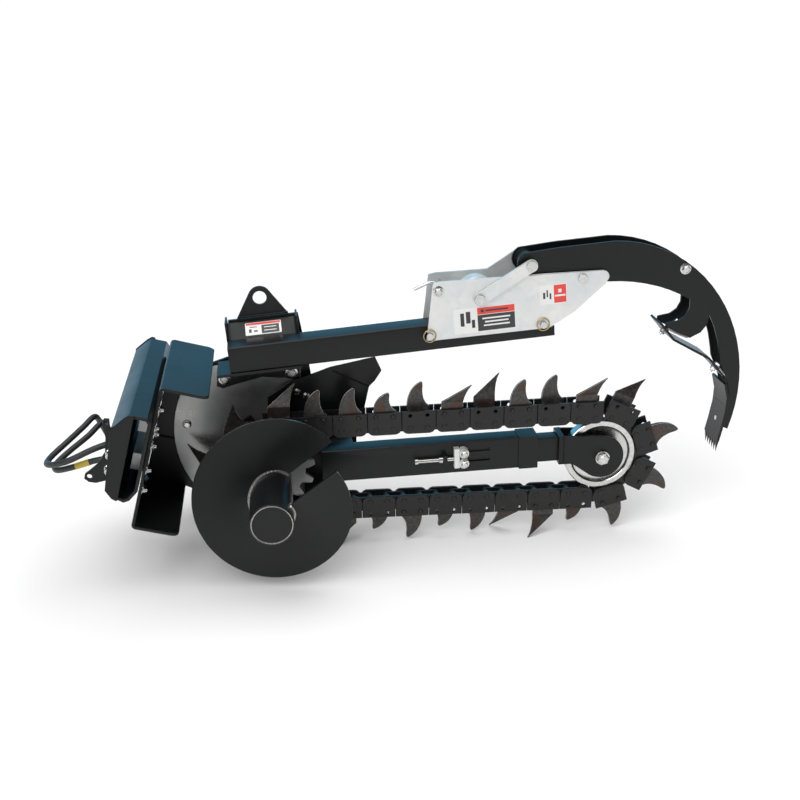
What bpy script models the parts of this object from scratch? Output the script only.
"""Chain trencher attachment for a compact loader, as an assembly of separate pieces.

Metres, +Z up, +X along the digging boom, -Y the side of the spoil auger.
The world origin is the centre of the quick-attach face, where the loader's plate seats.
Most places are measured from the drive axis, the empty that the pieces are parented to.
"""
import bpy
import bmesh
from math import asin, cos, pi, radians, sin, sqrt
from mathutils import Matrix, Vector

# Driving dimensions
GAP = 0.0003                    # clearance between pieces that touch
LEAN = radians(15.0)            # the mount and head bracket lean back by this angle
FRONT = (-0.3217, 0.1925)       # x, z of the mount's front face, at mid height
PLATE = 0.009                   # mount and head bracket sheet
MOUNT_HALF = 0.332              # half the width of the quick-attach mount
HEAD_HALF = 0.212               # half the width of the head bracket
BACK_U = -0.057                 # rear face of the back plate, behind the front face
PITCH = 0.0508                  # chain pitch
LINKS = 27                      # outer links in the chain, two pitches each
TEETH = 14                      # drive sprocket teeth
DRIVE_R = PITCH / (2 * sin(pi / TEETH))
IDLER_R = 0.124                 # pitch radius of the chain on the idler
IDLER_X = 0.999                 # drive axis to idler axle
PLATE_IN = 0.020                # inner face of the outer link plates
PLATE_OUT = 0.028               # outer face of the outer link plates
AUGER_R = 0.220
AUGER_PITCH = 0.200
AUGER_START = -0.125            # y of the flight's far edge
AUGER_ANGLE = radians(36.5)
PIPE_R = 0.060
PIPE_END = -0.370
BOOM_TILT = radians(1.6)
BOOM_Z = 0.0026                 # height of the boom's centre line over the drive axis
BEAM_TILT = radians(4.8)
BEAM_START = (-0.102, 0.3515)   # x, z of the top beam's rear end, on its centre line
BEAM_LENGTH = 0.935
BEAM_HALF = 0.0381
PIVOT = (0.750, 0.607)          # crumber arm pivot
ROLLER = (0.605, 0.515)
STOP = (0.900, 0.566)           # pin that the crumber arm rests on
ARM_CENTRE = (0.994, 0.214)     # centre of the arm's two elliptical edges
LATCH = (0.505, 0.548)
HOSE_R = 0.0085

for item in list(bpy.data.objects):
    bpy.data.objects.remove(item, do_unlink=True)


def paint(name, colour, rough, metal):
    material = bpy.data.materials.new(name)
    material.use_nodes = True
    shader = material.node_tree.nodes["Principled BSDF"]
    shader.inputs["Base Color"].default_value = (*colour, 1.0)
    shader.inputs["Roughness"].default_value = rough
    shader.inputs["Metallic"].default_value = metal
    return material


BLACK = paint("black_paint", (0.030, 0.032, 0.034), 0.38, 0.0)
ZINC = paint("zinc_plate", (0.62, 0.64, 0.65), 0.35, 0.9)
CHAIN = paint("chain_steel", (0.075, 0.072, 0.070), 0.45, 0.7)
STEEL = paint("bright_steel", (0.50, 0.50, 0.49), 0.30, 1.0)
RUBBER = paint("hose_rubber", (0.020, 0.020, 0.021), 0.60, 0.0)
BRASS = paint("gold_ring", (0.60, 0.42, 0.16), 0.30, 1.0)


def leaned(u, v):
    """x, z of a point u in front of the mount's front face and v up along it."""
    return (FRONT[0] + u * cos(LEAN) + v * sin(LEAN), FRONT[1] - u * sin(LEAN) + v * cos(LEAN))


ORIGIN = leaned(BACK_U, 0.0)
DRIVE = bpy.data.objects.new("drive_axis", None)
DRIVE.location = (-ORIGIN[0], 0.0, -ORIGIN[1])
bpy.context.scene.collection.objects.link(DRIVE)


def add(name, mesh, material, at=(0.0, 0.0, 0.0), tilt=0.0):
    """One object, parented to the drive axis; tilt turns it about Y so that its +X end rises."""
    item = bpy.data.objects.new(name, mesh)
    item.location = at
    item.rotation_euler = (0.0, -tilt, 0.0)
    item.parent = DRIVE
    mesh.materials.append(material)
    bpy.context.scene.collection.objects.link(item)
    return item


def finish(name, bm, smooth=False):
    bmesh.ops.recalc_face_normals(bm, faces=bm.faces)
    mesh = bpy.data.meshes.new(name)
    bm.to_mesh(mesh)
    bm.free()
    if smooth:
        mesh.shade_smooth()
        mesh.set_sharp_from_angle(angle=radians(35))
    return mesh


def extruded(bm, outline, low, high):
    """A closed prism of an x, z outline, from y = low to y = high."""
    verts = [bm.verts.new((x, low, z)) for x, z in outline]
    face = bm.faces.new(verts)
    top = bmesh.ops.extrude_face_region(bm, geom=[face])
    moved = [v for v in top["geom"] if isinstance(v, bmesh.types.BMVert)]
    bmesh.ops.translate(bm, verts=moved, vec=(0.0, high - low, 0.0))
    return verts + moved


def plate(name, outline, low, high, material, at=(0.0, 0.0, 0.0), tilt=0.0):
    bm = bmesh.new()
    extruded(bm, outline, low, high)
    return add(name, finish(name, bm), material, at, tilt)


def rectangle(x0, z0, x1, z1):
    return [(x0, z0), (x1, z0), (x1, z1), (x0, z1)]


def arc(cx, cz, r, start, end, count):
    """Points on a circle, or on an ellipse if r is a pair; angles in degrees."""
    rx, rz = r if isinstance(r, tuple) else (r, r)
    steps = [radians(start + (end - start) * i / (count - 1)) for i in range(count)]
    return [(cx + rx * cos(a), cz + rz * sin(a)) for a in steps]


def polar(r, angle):
    return (r * cos(radians(angle)), r * sin(radians(angle)))


def ring(cx, cz, r, count):
    return arc(cx, cz, r, 0, 360 * (count - 1) / count, count)


def turned(name, profile, material, at=(0.0, 0.0, 0.0), sides=24, hollow=False):
    """A profile of (radius, y) turned about Y: capped at both ends, or a closed ring."""
    bm = bmesh.new()
    rings = []
    for r, y in profile:
        angles = [2 * pi * i / sides for i in range(sides)]
        rings.append([bm.verts.new((r * cos(a), y, r * sin(a))) for a in angles])
    pairs = list(zip(rings, rings[1:]))
    if hollow:
        pairs.append((rings[-1], rings[0]))
    else:
        bm.faces.new(rings[0])
        bm.faces.new(rings[-1])
    for one, two in pairs:
        for i in range(sides):
            j = (i + 1) % sides
            bm.faces.new((one[i], one[j], two[j], two[i]))
    return add(name, finish(name, bm, smooth=True), material, at)


def tube(name, start, length, half_y, half_z, wall, material, at, tilt):
    """A rectangular tube along its own X."""
    bm = bmesh.new()
    loops = []
    for x in (start, start + length):
        for inset in (0.0, wall):
            y, z = half_y - inset, half_z - inset
            loops.append([bm.verts.new((x, a, b)) for a, b in ((-y, -z), (y, -z), (y, z), (-y, z))])
    near_out, near_in, far_out, far_in = loops
    for one, two in ((near_out, far_out), (far_out, far_in), (far_in, near_in), (near_in, near_out)):
        for i in range(4):
            j = (i + 1) % 4
            bm.faces.new((one[i], one[j], two[j], two[i]))
    return add(name, finish(name, bm), material, at, tilt)


def combine(item, cutter, operation="DIFFERENCE", self_too=False):
    """A Boolean with a hidden cutter."""
    cutter.hide_render = True
    cutter.display_type = "WIRE"
    change = item.modifiers.new(operation.lower(), "BOOLEAN")
    change.operation = operation
    change.solver = "EXACT"
    change.use_self = self_too
    change.object = cutter


def hole(item, x, z, r, low, high, sides=20):
    """A round hole along Y through a piece."""
    at = tuple(item.location)
    cutter = plate(item.name + "_hole", ring(x, z, r, sides), low, high, BLACK, at)
    cutter.rotation_euler = item.rotation_euler
    combine(item, cutter)


def offset(path, distance):
    """A path moved sideways, with mitred corners."""
    moved = []
    for i, (x, z) in enumerate(path):
        before = Vector(path[i]) - Vector(path[i - 1]) if i else None
        after = Vector(path[i + 1]) - Vector(path[i]) if i + 1 < len(path) else None
        sides = [Vector((-d.y, d.x)).normalized() for d in (before, after) if d]
        side = sum(sides, Vector((0.0, 0.0))).normalized()
        reach = distance / side.dot(sides[0])
        moved.append((x + side.x * reach, z + side.y * reach))
    return moved


def bent(path, thickness):
    """The outline of a sheet of one thickness that follows a path."""
    return list(path) + offset(path, thickness)[::-1]


def beam_point(along, up):
    """x, z of a point along the top beam's centre line and up from it."""
    return (BEAM_START[0] + along * cos(BEAM_TILT) - up * sin(BEAM_TILT),
            BEAM_START[1] + along * sin(BEAM_TILT) + up * cos(BEAM_TILT))


# Quick-attach mount, which stays with the loader

def mount():
    profile = [(-0.099, 0.060), (-0.070, 0.099), (-0.058, 0.110), (-0.012, 0.110), (0.0, 0.098),
               (0.0, -0.100), (-0.016, -0.130), (-0.030, -0.139), (-0.062, -0.130), (-0.083, -0.110)]
    channel = [leaned(u, v) for u, v in bent(profile, -PLATE)]
    end_thick = 0.008
    inner = MOUNT_HALF - end_thick - GAP
    plate("mount_plate", channel, -inner, inner, BLACK)
    back = [leaned(u, v) for u, v in rectangle(BACK_U, -0.1195, BACK_U + PLATE, 0.0965)]
    plate("mount_back_plate", back, -inner, inner, BLACK)
    cap = [(-0.099, 0.060), (-0.070, 0.099), (-0.058, 0.110), (-0.048, 0.110),
           (-0.048, -0.134), (-0.062, -0.130), (-0.083, -0.110)]
    outline = [leaned(u, v) for u, v in cap]
    plate("mount_end_near", outline, -MOUNT_HALF, -inner - GAP, BLACK)
    plate("mount_end_far", outline, inner + GAP, MOUNT_HALF, BLACK)


COUPLERS = {"pressure": (-0.4180, 0.1560), "return": (-0.4110, 0.2000)}
BRACKET_Y = (-0.302, -0.294)


def hose_bracket():
    edge = [leaned(BACK_U - GAP, v) for v in (0.050, -0.080)]
    outline = [(-0.405, 0.268), (-0.405, 0.296), (-0.418, 0.298), (-0.424, 0.285), (-0.419, 0.245),
               (-0.424, 0.205), (-0.446, 0.172), (-0.466, 0.156), (-0.481, 0.145), (-0.484, 0.132),
               (-0.473, 0.122), (-0.455, 0.118), edge[1], edge[0]]
    item = plate("hose_bracket", outline, *BRACKET_Y, BLACK)
    holes = [(x, z, 0.0133) for x, z in COUPLERS.values()]
    holes += [(-0.4135, 0.2855, 0.005), (-0.470, 0.137, 0.007)]
    for x, z, r in holes:
        hole(item, x, z, r, BRACKET_Y[0] - 0.004, BRACKET_Y[1] + 0.004, 16)


def couplers():
    """Flat-faced hydraulic couplers, parked in the hose bracket."""
    profile = [(0.010, -0.3225), (0.010, -0.304), (0.0130, -0.304), (0.0130, -0.280),
               (0.0105, -0.276), (0.0105, -0.2603)]
    for name, (x, z) in COUPLERS.items():
        turned("coupler_" + name, profile, ZINC, (x, 0.0, z), 16)


# Head: bracket, side plate, guard, cover and beam, which slide sideways on the mount

def head_bracket():
    outer = [(0.133, 0.158), (0.012, 0.158), (0.004, 0.155), (0.0005, 0.147),
             (0.0005, -0.259), (0.004, -0.267), (0.012, -0.270), (0.133, -0.270)]
    outline = [leaned(u, v) for u, v in bent(outer, PLATE)]
    plate("head_bracket", outline, -HEAD_HALF, HEAD_HALF, BLACK)
    for name, low, high in (("upper", 0.020, 0.066), ("lower", -0.094, -0.044)):
        bar = [leaned(u, v) for u, v in rectangle(-0.034, low, -PLATE - GAP, high)]
        plate("clamp_bar_" + name, bar, -0.204, 0.204, ZINC)


SIDE_Y = (0.105, 0.115)
GUARD_Y = (0.092, 0.100)


def side_plate():
    foot = -0.270 + PLATE + GAP
    head = 0.158 - PLATE - GAP
    outline = [leaned(0.011, head - 0.012), leaned(0.022, head), leaned(0.1335, head),
               (-0.104, 0.318), (-0.104, 0.428),
               (0.099, 0.445), (0.125, 0.300), (0.150, 0.130), (0.265, 0.052), (0.265, -0.052),
               (0.100, -0.170), (-0.060, -0.190), leaned(0.1335, foot), leaned(0.022, foot),
               leaned(0.011, foot + 0.012)]
    item = plate("side_plate", outline, *SIDE_Y, BLACK)
    hole(item, 0.0, 0.0, 0.038, 0.100, 0.120)


def guard_plate():
    top = 0.295
    rim = arc(0.031, 0.084, 0.313, 137.6, 250.0, 20)
    outline = rim + [(0.100, rim[-1][1]), (0.100, top)]
    item = plate("guard_plate", outline, *GUARD_Y, ZINC)
    hole(item, 0.0, 0.0, 0.038, 0.088, 0.104)


def motor():
    """Hydraulic motor behind the side plate, and the bearing in front of the guard."""
    profile = [(0.075, 0.1153), (0.075, 0.130), (0.058, 0.132), (0.058, 0.215),
               (0.052, 0.217), (0.052, 0.283), (0.046, 0.290)]
    turned("hydraulic_motor", profile, BLACK)
    for name, y in (("pressure", 0.2400), ("return", 0.2660)):
        block = rectangle(-0.085, -0.010, -0.0524, 0.010)
        plate("motor_fitting_" + name, block, y - 0.0105, y + 0.0105, ZINC)
    bearing = [(0.0304, 0.0600), (0.052, 0.0600), (0.056, 0.066), (0.056, 0.078), (0.078, 0.080),
               (0.078, 0.0917), (0.0304, 0.0917)]
    turned("bearing_housing", bearing, BLACK, hollow=True)


def cover():
    """Sloping cover between two walls, over the beam's far side."""
    bm = bmesh.new()
    corners = []
    for y, up in ((BEAM_HALF + GAP, 0.0330), (0.1000, 0.0700)):
        corners += [(y, up), (y, up - 0.006)]
    ends = []
    for along in (0.0, 0.2020):
        order = (corners[0], corners[2], corners[3], corners[1])
        ends.append([bm.verts.new((along, y, up)) for y, up in order])
    bm.faces.new(ends[0])
    bm.faces.new(ends[1])
    for i in range(4):
        j = (i + 1) % 4
        bm.faces.new((ends[0][i], ends[0][j], ends[1][j], ends[1][i]))
    at = (BEAM_START[0], 0.0, BEAM_START[1])
    item = add("motor_cover", finish("motor_cover", bm), BLACK, at, BEAM_TILT)
    for name, x in (("left", -0.003), ("right", 0.1990)):
        wall = plate("cover_wall_" + name, rectangle(x, 0.018, x + 0.006, 0.088),
                     BEAM_HALF + GAP, 0.1046, BLACK, at, BEAM_TILT)
        combine(item, wall, "UNION")


def lifting_lug():
    top = (-0.010, 0.4930)
    outline = [(0.071, 0.4445), *arc(*top, 0.034, 32, 148, 9), (-0.078, 0.4320)]
    item = plate("lifting_lug", outline, *SIDE_Y, BLACK)
    hole(item, *top, 0.020, 0.100, 0.120)


def beam():
    at = (BEAM_START[0], 0.0, BEAM_START[1])
    tube("top_beam", 0.0, BEAM_LENGTH, BEAM_HALF, BEAM_HALF, 0.006, BLACK, at, BEAM_TILT)
    low = -BEAM_HALF - GAP
    saddle = plate("beam_saddle", rectangle(-0.040, low - 0.008, 0.200, low), -BEAM_HALF, 0.084,
                   BLACK, at, BEAM_TILT)
    ends = [beam_point(0.1985, low - 0.001), beam_point(-0.0385, low - 0.001)]
    outline = [(-0.147, 0.235), (-0.129, 0.228), (-0.079, 0.243), (-0.013, 0.259), (0.054, 0.253),
               (0.098, 0.246), *ends]
    item = plate("beam_bracket", outline, 0.0800, 0.0880, BLACK)
    combine(item, saddle, "UNION")


def deflector():
    outline = [(0.000, 0.118), (0.280, 0.118), (0.302, 0.220), (0.320, 0.238), (0.340, 0.269),
               (0.321, 0.312), (0.187, 0.285), (0.098, 0.254), (0.077, 0.249), (0.000, 0.199)]
    plate("deflector_plate", outline, 0.066, 0.074, BLACK)


# Drive: shaft, sprocket and spoil auger, which turn together about the origin's Y

def sprocket():
    tip, flank, root = 0.132, 0.118, 0.1035
    step = 360.0 / TEETH
    outline = []
    for tooth in range(TEETH):
        centre = 6.0 + tooth * step
        gap = centre + step / 2
        outline += arc(0.0, 0.0, tip, centre - 3.0, centre + 3.0, 2)
        outline.append(polar(flank, centre + 5.6))
        outline += arc(0.0, 0.0, root, gap - 4.5, gap + 4.5, 3)
        outline.append(polar(flank, centre + step - 5.6))
    item = plate("drive_sprocket", outline, -0.008, 0.008, ZINC)
    hub = plate("sprocket_hub", ring(0.0, 0.0, 0.052, 20), -0.0290, 0.0500, ZINC)
    combine(item, hub, "UNION")
    hole(item, 0.0, 0.0, 0.0303, -0.040, 0.060, 24)


def auger():
    turned("drive_shaft", [(0.030, -0.0290), (0.030, 0.1150)], STEEL)
    wall = 0.007
    end_cap = 0.008
    vent = 0.0020
    profile = [(PIPE_R, PIPE_END), (PIPE_R, -0.0300), (PIPE_R - wall, -0.0300),
               (PIPE_R - wall, PIPE_END + end_cap), (vent, PIPE_END + end_cap), (vent, PIPE_END)]
    turned("auger_pipe", profile, BLACK, sides=32, hollow=True)
    flight()


def flight():
    """One turn of flat strip on edge, as a helix."""
    count, thick = 54, 0.008
    bm = bmesh.new()
    loops = []
    for i in range(count + 1):
        angle = AUGER_ANGLE + 2 * pi * i / count
        y = AUGER_START - AUGER_PITCH * i / count
        corners = ((PIPE_R + GAP, y), (AUGER_R, y), (AUGER_R, y - thick), (PIPE_R + GAP, y - thick))
        loops.append([bm.verts.new((r * cos(angle), h, r * sin(angle))) for r, h in corners])
    for one, two in zip(loops, loops[1:]):
        for i in range(4):
            j = (i + 1) % 4
            bm.faces.new((one[i], one[j], two[j], two[i]))
    bm.faces.new(loops[0])
    bm.faces.new(loops[-1])
    add("auger_flight", finish("auger_flight", bm), BLACK)


# Boom, tensioner and idler

def boom():
    at = (0.0, 0.0, BOOM_Z)
    item = tube("boom_tube", 0.152, 0.650, 0.030, 0.050, 0.005, BLACK, at, BOOM_TILT)
    collar = tube("boom_collar", 0.744, 0.057, 0.033, 0.052, 0.004, BLACK, at, BOOM_TILT)
    combine(item, collar, "UNION")
    for z in (0.020, -0.012):
        outline = rectangle(0.565, z - 0.005, 0.655, z + 0.005)
        slot = plate("boom_slot", outline, -0.034, -0.022, BLACK, at, BOOM_TILT)
        combine(item, slot)
    bracket = rectangle(0.160, -0.040, 0.250, 0.044)
    plate("boom_bracket", bracket, 0.0303, SIDE_Y[0] - GAP, BLACK, at, BOOM_TILT)
    lug_outline = rectangle(0.511, -0.014, 0.523, 0.018)
    lug = plate("tension_lug", lug_outline, -0.056, -0.0303, BLACK, at, BOOM_TILT)
    along = turned("lug_bore", [(0.0066, -0.02), (0.0066, 0.02)], BLACK, sides=12)
    along.location = (0.517, -0.044, BOOM_Z + 0.517 * sin(BOOM_TILT) + 0.002)
    along.rotation_euler = (0.0, -BOOM_TILT, radians(-90))
    combine(lug, along)


def tension_bolt():
    """Adjusting bolt along the boom; its tip bears on the slide block."""
    bm = bmesh.new()
    stations = [(0.426, 0.0095), (0.436, 0.0095), (0.436, 0.0060), (0.498, 0.0060), (0.498, 0.0100),
                (0.510, 0.0100), (0.510, 0.0060), (0.5435, 0.0060)]
    rings = []
    for x, r in stations:
        angles = [pi * i / 6 for i in range(12)]
        rings.append([bm.verts.new((x, -0.044 + r * cos(a), 0.002 + r * sin(a))) for a in angles])
    for one, two in zip(rings, rings[1:]):
        for i in range(12):
            j = (i + 1) % 12
            bm.faces.new((one[i], one[j], two[j], two[i]))
    bm.faces.new(rings[0])
    bm.faces.new(rings[-1])
    add("tension_bolt", finish("tension_bolt", bm, smooth=True), STEEL, (0.0, 0.0, BOOM_Z), BOOM_TILT)


def slide_parts():
    at = (0.0, 0.0, BOOM_Z)
    tube("boom_inner_tube", 0.540, 0.325, 0.0245, 0.0385, 0.005, BLACK, at, BOOM_TILT)
    outline = rectangle(0.544, -0.026, 0.560, 0.036)
    block = plate("tension_block", outline, -0.052, -0.0303, ZINC, at, BOOM_TILT)
    for name, z in (("upper", 0.0205), ("lower", -0.0125)):
        outline = ring(0.573, z, 0.0155, 12)
        head = plate("block_bolt_" + name, outline, -0.0540, -0.0303, ZINC, at, BOOM_TILT)
        combine(block, head, "UNION")
    plate("fork_block", rectangle(0.8653, -0.046, 0.8820, 0.046), -0.0375, 0.0375, BLACK, at, BOOM_TILT)
    r, left = 0.068, 0.8823
    shift = -0.0290
    outline = [(left, 0.045), (left, -0.042), (0.958, -0.0700 + 0.012),
               *arc(1.000, shift, r, -118, 72, 16), (0.980, 0.040)]
    for name, low in (("near", -0.0380), ("far", 0.0300)):
        plate("fork_plate_" + name, outline, low, low + 0.008, BLACK, at, BOOM_TILT)
    head, shank = 0.022, 0.0145
    axle = [(head, -0.0480), (head, -0.0383), (shank, -0.0383), (shank, 0.0386), (head, 0.0386),
            (head, 0.0480)]
    turned("idler_axle", axle, STEEL, (IDLER_X, 0.0, 0.0), 20)


def bore_for_axle():
    """The axle's hole in both fork plates."""
    for name in ("near", "far"):
        item = bpy.data.objects["fork_plate_" + name]
        bore = [(0.0148, -0.050), (0.0148, 0.050)]
        cutter = turned("axle_bore_" + name, bore, BLACK, (IDLER_X, 0.0, 0.0), 20)
        combine(item, cutter)


def idler():
    profile = [(0.0150, -0.0290), (0.034, -0.0290), (0.034, -0.006), (0.088, -0.006), (0.094, -0.018),
               (0.110, -0.018), (0.110, 0.018), (0.094, 0.018), (0.088, 0.006), (0.034, 0.006),
               (0.034, 0.0290), (0.0150, 0.0290)]
    turned("idler_wheel", profile, ZINC, (IDLER_X, 0.0, 0.0), 40, hollow=True)


# Chain: outer links of two plates, joined by inner blocks, with a digging tooth on each

TILT = asin((IDLER_R - DRIVE_R) / IDLER_X)
RUN = sqrt(IDLER_X ** 2 - (IDLER_R - DRIVE_R) ** 2)
NOSE = IDLER_R * (pi + 2 * TILT)
LOOP = 2 * RUN + NOSE + DRIVE_R * (pi - 2 * TILT)
STEP = LOOP / (2 * LINKS)       # pitch along the loop
PHASE = 0.4921                  # loop distance of a joint between two outer links


def on_loop(s):
    """Place and travel angle at a distance along the pitch line, clockwise from the drive's top."""
    s %= LOOP
    if s < RUN:
        a = pi / 2 + TILT
        return (DRIVE_R * cos(a) + s * cos(TILT), DRIVE_R * sin(a) + s * sin(TILT)), TILT
    s -= RUN
    if s < NOSE:
        a = pi / 2 + TILT - s / IDLER_R
        return (IDLER_X + IDLER_R * cos(a), IDLER_R * sin(a)), a - pi / 2
    s -= NOSE
    if s < RUN:
        a = -pi / 2 - TILT
        return (IDLER_X + IDLER_R * cos(a) - s * cos(TILT), IDLER_R * sin(a) + s * sin(TILT)), pi - TILT
    s -= RUN
    a = -pi / 2 - TILT - s / DRIVE_R
    return (DRIVE_R * cos(a), DRIVE_R * sin(a)), a - pi / 2


def link_frame(first):
    """Centre and travel angle of the chord between two joints on the pitch line."""
    (x0, z0), _ = on_loop(first)
    (x1, z1), _ = on_loop(first + STEP)
    angle = Vector((x1 - x0, z1 - z0)).angle_signed(Vector((1.0, 0.0)))
    return ((x0 + x1) / 2, (z0 + z1) / 2), angle


def set_out(points, frame):
    """Points (along, out) of a link, placed on the loop."""
    (cx, cz), a = frame
    return [(cx + p * cos(a) - q * sin(a), cz + p * sin(a) + q * cos(a)) for p, q in points]


FIN = [(-0.034, 0.030), (-0.030, 0.070), (-0.012, 0.110), (0.010, 0.130), (0.018, 0.128),
       (0.016, 0.090), (0.034, 0.052), (0.034, 0.030)]
CUP = [(-0.028, 0.040), (-0.036, 0.050), (0.022, 0.122), (0.034, 0.128), (0.002, 0.066), (0.010, 0.040)]
# Tooth of each outer link, clockwise from the drive's top: n a fin on the near side,
# f a fin on the far side, c a cup across the chain
PATTERN = "cnnnfcfnncf" + "nnn" + "fcfnfnfc" + "cfncf"


def link(bm, index):
    first = PHASE + STEP * (2 * (index - 5) + 0.5)
    frame = link_frame(first)
    half = STEP - 0.0012
    plate_line = [(-half + 0.010, -0.018), (half - 0.010, -0.018), (half, -0.005), (half, 0.052),
                  (-half, 0.052), (-half, -0.005)]
    for low, high in ((-PLATE_OUT, -PLATE_IN), (PLATE_IN, PLATE_OUT)):
        extruded(bm, set_out(plate_line, frame), low, high)
    tooth = PATTERN[index]
    if tooth == "c":
        extruded(bm, set_out(CUP, frame), -0.050, 0.050)
    else:
        low = -0.0245 if tooth == "n" else 0.0125
        extruded(bm, set_out(FIN, frame), low, low + 0.012)


def cross_piece(bm, index, offset_pitches, half, reach):
    """A block between the plates; near the drive it stays outside the sprocket teeth."""
    frame = link_frame(PHASE + STEP * (2 * (index - 5) + offset_pitches))
    over_drive = Vector(frame[0]).length < 0.165
    low, high = (0.026, 0.041) if over_drive else (-0.0075, 0.0125)
    outline = set_out(rectangle(-half, low, half, high), frame)
    extruded(bm, outline, -PLATE_IN - reach, PLATE_IN + reach)


def chain(name, start, count):
    """One stretch of the chain, as a single body: links, and inner links between them."""
    bm = bmesh.new()
    for index in range(start, start + count):
        link(bm, index)
    for index in range(start, start + count - 1):
        cross_piece(bm, index, 1.5, 0.0255, 0.001)
    spare = bmesh.new()
    for index in range(start, start + count):
        cross_piece(spare, index, 0.5, 0.012, 0.0015)
    item = add(name, finish(name, bm), CHAIN)
    ties = add(name + "_ties", finish(name + "_ties", spare), CHAIN)
    combine(item, ties, "UNION", self_too=True)


# Crumber: bracket on the beam, and the arm with its scraper and shoe

def crumber_bracket():
    low, high = beam_point(0.560, -0.004), beam_point(0.915, -0.006)
    front = [low, high, (0.825, 0.430), (0.886, 0.470), (0.969, 0.548),
             *arc(0.960, 0.568, 0.018, -45, 95, 7)]
    rear = [(0.494, 0.567), (0.474, 0.562)]
    near = front + [(0.735, 0.578)] + rear
    far = front + [(0.790, 0.583), *arc(*PIVOT, 0.030, 15, 120, 6), (0.646, 0.574)] + rear
    for name, outline, start in (("near", near, -0.0555), ("far", far, 0.0475)):
        stop = start + 0.008
        item = plate("crumber_plate_" + name, outline, start, stop, ZINC)
        spots = [(*ROLLER, 0.0105), (*STOP, 0.0083)]
        if name == "far":
            spots.append((*PIVOT, 0.0123))
        for x, z, r in spots:
            hole(item, x, z, r, start - 0.004, stop + 0.004, 16)


def brace():
    """Bar that carries the near end of the pivot pin, from the roller pin."""
    direction = Vector((PIVOT[0] - ROLLER[0], PIVOT[1] - ROLLER[1]))
    along = direction.normalized()
    side = Vector((-along.y, along.x))
    half, outline = 0.018, []
    for centre, turn in ((Vector(ROLLER), 1), (Vector(PIVOT), -1)):
        for i in range(9):
            a = -pi / 2 + pi * i / 8
            point = centre - along * turn * half * cos(a) - side * turn * half * sin(a)
            outline.append(tuple(point))
    item = plate("brace_bar", outline, -0.0645, -0.0565, ZINC)
    for spot, r in ((ROLLER, 0.0105), (PIVOT, 0.0123)):
        hole(item, *spot, r, -0.070, -0.050, 16)


def pins():
    """Pins through the bracket: a head at each end, a shank between."""
    def pin(name, at, shank, head, low, high, thick):
        profile = [(head, low - thick), (head, low), (shank, low), (shank, high), (head, high),
                   (head, high + thick)]
        turned(name, profile, ZINC, (at[0], 0.0, at[1]), 16)
    pin("roller_pin", ROLLER, 0.0100, 0.0160, -0.0648, 0.0558, 0.009)
    pin("pivot_pin", PIVOT, 0.0118, 0.0160, -0.0648, 0.0558, 0.009)
    pin("stop_pin", STOP, 0.0080, 0.0135, -0.0558, 0.0558, 0.008)


LYNCH = {"rear": beam_point(0.570, 0.012), "front": beam_point(0.898, 0.007)}


def lynch_pins():
    """Each locks the bracket to the beam, with a spring ring round its head."""
    for name, (x, z) in LYNCH.items():
        head = [(0.0105, -0.0690), (0.0105, -0.0558)]
        turned("lynch_pin_" + name, head, ZINC, (x, 0.0, z), 12)
        ring_piece("lynch_ring_" + name, (x, 0.0, z))


def ring_piece(name, at):
    """Spring ring around a lynch pin."""
    outer = 0.0195
    inner = 0.0160
    low, high = -0.0620, -0.0585
    profile = [(inner, low), (outer, low), (outer, high), (inner, high)]
    turned(name, profile, BRASS, at, 20, hollow=True)


def roller():
    profile = [(0.0104, -0.040), (0.022, -0.040), (0.022, -0.024), (0.054, -0.024), (0.054, 0.024),
               (0.022, 0.024), (0.022, 0.040), (0.0104, 0.040)]
    turned("crumber_roller", profile, ZINC, (ROLLER[0], 0.0, ROLLER[1]), 28, hollow=True)


def arm_outline():
    top = arc(*ARM_CENTRE, (0.413, 0.452), 90, -18, 22)
    inner = [(1.3705, 0.081), (1.3795, 0.140), (1.3800, 0.182), (1.3700, 0.228), (1.341, 0.290),
             (1.337, 0.312), (1.326, 0.359), (1.309, 0.406), (1.293, 0.437)]
    hook = [(1.287, 0.407), (1.271, 0.386), (1.240, 0.370), (1.196, 0.387), (1.163, 0.404),
            (1.163, 0.418), (1.200, 0.425), (1.220, 0.439), (1.230, 0.460)]
    bottom = arc(*ARM_CENTRE, (0.406, 0.335), 54.5, 92, 8)
    saddle = [(0.9105, 0.5558), *arc(*STOP, 0.0105, 0, 180, 7), (0.877, 0.5592)]
    butt = [(0.760, 0.571), *arc(*PIVOT, 0.036, 250, 120, 7), (0.836, 0.652)]
    return top + inner + hook + bottom + saddle + butt


def arm():
    outline = arm_outline()
    for name, low in (("near", -0.0410), ("far", 0.0330)):
        item = plate("arm_plate_" + name, outline, low, low + 0.008, BLACK)
        hole(item, *PIVOT, 0.0123, low - 0.004, low + 0.012, 16)
    bush = [(0.0123, -0.0326), (0.026, -0.0326), (0.026, 0.0326), (0.0123, 0.0326)]
    turned("pivot_bush", bush, BLACK, (PIVOT[0], 0.0, PIVOT[1]), 20, hollow=True)
    turned("arm_spacer", [(0.012, -0.0326), (0.012, 0.0326)], ZINC, (1.206, 0.0, 0.580), 16)
    blade = [(1.149, 0.421), (1.190, 0.372), (1.303, 0.310), (1.345, 0.266), (1.378, 0.232)]
    plate("scraper_blade", bent(blade, -0.007), -0.0320, 0.0320, BLACK)


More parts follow.
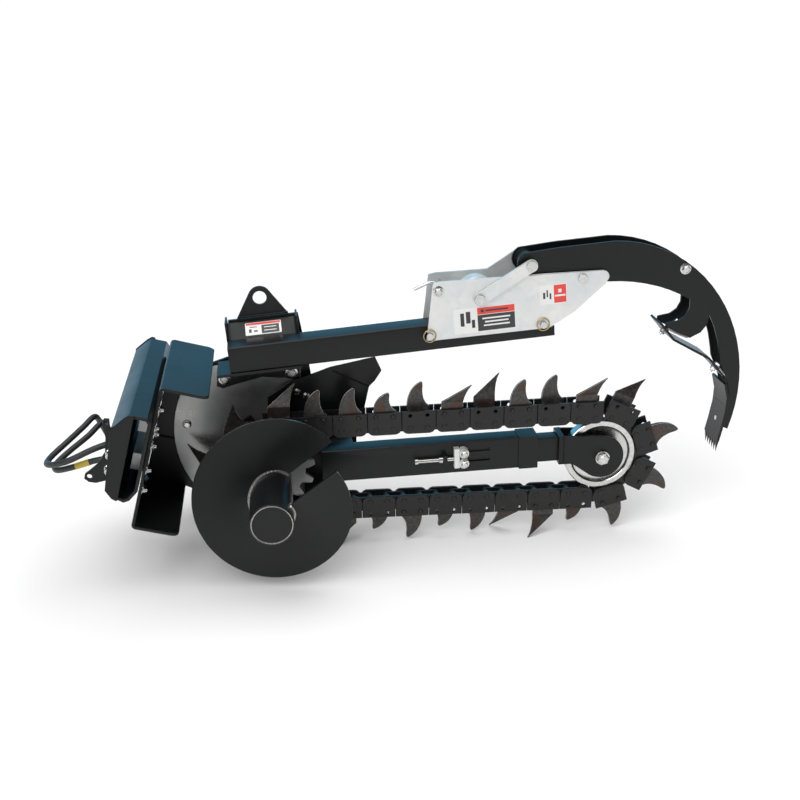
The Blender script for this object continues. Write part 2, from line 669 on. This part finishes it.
def shoe():
    path = [(1.3650, 0.224), (1.3770, 0.180), (1.3765, 0.136), (1.3680, 0.078), (1.3600, 0.036)]
    item = plate("crumber_shoe", bent(path, -0.008), -0.050, 0.050, BLACK)
    for i in range(6):
        y = -0.050 + 0.1 * (i + 0.5) / 6
        bm = bmesh.new()
        base = [(1.3534, y - 0.0072, 0.040), (1.3534, y + 0.0072, 0.040),
                (1.3602, y + 0.0072, 0.040), (1.3602, y - 0.0072, 0.040)]
        verts = [bm.verts.new(p) for p in base] + [bm.verts.new((1.3560, y, 0.000))]
        bm.faces.new(verts[:4])
        for k in range(4):
            bm.faces.new((verts[k], verts[(k + 1) % 4], verts[4]))
        name = "shoe_tooth_%d" % i
        combine(item, add(name, finish(name, bm), BLACK), "UNION")


def latch():
    """Bent rod: its cross leg lies in the bracket, its handle points back."""
    points = [(0.0, 0.040, 0.0), (0.0, -0.030, 0.0), (-0.006, -0.038, 0.002), (-0.015, -0.040, 0.007),
              (-0.036, -0.040, 0.014), (-0.060, -0.040, 0.006), (-0.084, -0.040, -0.005)]
    rod("latch_handle", points, 0.0045, ZINC, (LATCH[0], 0.0, LATCH[1]), 2)


def rod(name, points, radius, material, at=(0.0, 0.0, 0.0), resolution=2):
    """A round bar or hose along points, with filled ends."""
    data = bpy.data.curves.new(name, "CURVE")
    data.dimensions = "3D"
    data.bevel_depth = radius
    data.bevel_resolution = resolution
    data.use_fill_caps = True
    spline = data.splines.new("POLY")
    spline.points.add(len(points) - 1)
    for point, place in zip(spline.points, points):
        point.co = (*place, 1.0)
    return add(name, data, material, at)


# Hoses: from the motor, under the mount, out in a loop behind it, back to their couplers

PARK = [(-0.512, -0.0150, 0.136), (-0.560, -0.0600, 0.110), (-0.590, -0.1150, 0.096),
        (-0.578, -0.1700, 0.102), (-0.530, -0.2060, 0.124), (-0.470, -0.2180, 0.145),
        (-0.432, -0.2260, 0.153), (-0.4190, -0.2400, 0.1558), (-0.4180, -0.2520, 0.1560),
        (-0.4180, -0.2598, 0.1560)]
ROUTE = [(-0.0868, 0.2400, 0.000), (-0.0930, 0.2400, 0.000), (-0.110, 0.2400, 0.000),
         (-0.172, 0.2430, -0.052), (-0.225, 0.2450, -0.112), (-0.290, 0.2450, -0.132),
         (-0.360, 0.2330, -0.110), (-0.425, 0.1950, -0.045), (-0.462, 0.1500, 0.040),
         (-0.476, 0.1000, 0.115), (-0.482, 0.0500, 0.148), *PARK]
PARK_TWO = [(-0.526, -0.0020, 0.158), (-0.566, -0.0420, 0.132), (-0.606, -0.1080, 0.112),
            (-0.598, -0.1770, 0.122), (-0.540, -0.2260, 0.150), (-0.470, -0.2290, 0.182),
            (-0.427, -0.2270, 0.196), (-0.4120, -0.2400, 0.1997), (-0.4110, -0.2520, 0.2000),
            (-0.4110, -0.2598, 0.2000)]
ROUTE_TWO = [(-0.0868, 0.2660, 0.000), (-0.0930, 0.2660, 0.000), (-0.110, 0.2660, 0.000),
             (-0.172, 0.2690, -0.052), (-0.227, 0.2710, -0.116), (-0.294, 0.2710, -0.137),
             (-0.368, 0.2570, -0.114), (-0.438, 0.2160, -0.045), (-0.478, 0.1650, 0.045),
             (-0.495, 0.1080, 0.125), (-0.502, 0.0550, 0.166), *PARK_TWO]


def smooth(points, each):
    """Catmull-Rom points through a route."""
    places = [Vector(p) for p in points]
    line = [places[0] * 2 - places[1]] + places + [places[-1] * 2 - places[-2]]
    result = []
    for a, b, c, d in zip(line, line[1:], line[2:], line[3:]):
        for i in range(each):
            t = i / each
            result.append(0.5 * (2 * b + (c - a) * t + (2 * a - 5 * b + 4 * c - d) * t * t
                                 + (3 * b - a - 3 * c + d) * t ** 3))
    return result + [places[-1]]


def hoses():
    rod("hose_pressure", smooth(ROUTE, 3), HOSE_R, RUBBER)
    rod("hose_return", smooth(ROUTE_TWO, 3), HOSE_R, RUBBER)


mount()
hose_bracket()
couplers()
head_bracket()
side_plate()
guard_plate()
motor()
cover()
lifting_lug()
beam()
deflector()
sprocket()
auger()
boom()
tension_bolt()
slide_parts()
bore_for_axle()
idler()
chain("chain_top_run", 0, 10)
chain("chain_nose", 10, 4)
chain("chain_bottom_run", 14, 8)
chain("chain_drive_wrap", 22, 5)
crumber_bracket()
brace()
pins()
lynch_pins()
roller()
arm()
shoe()
latch()
hoses()
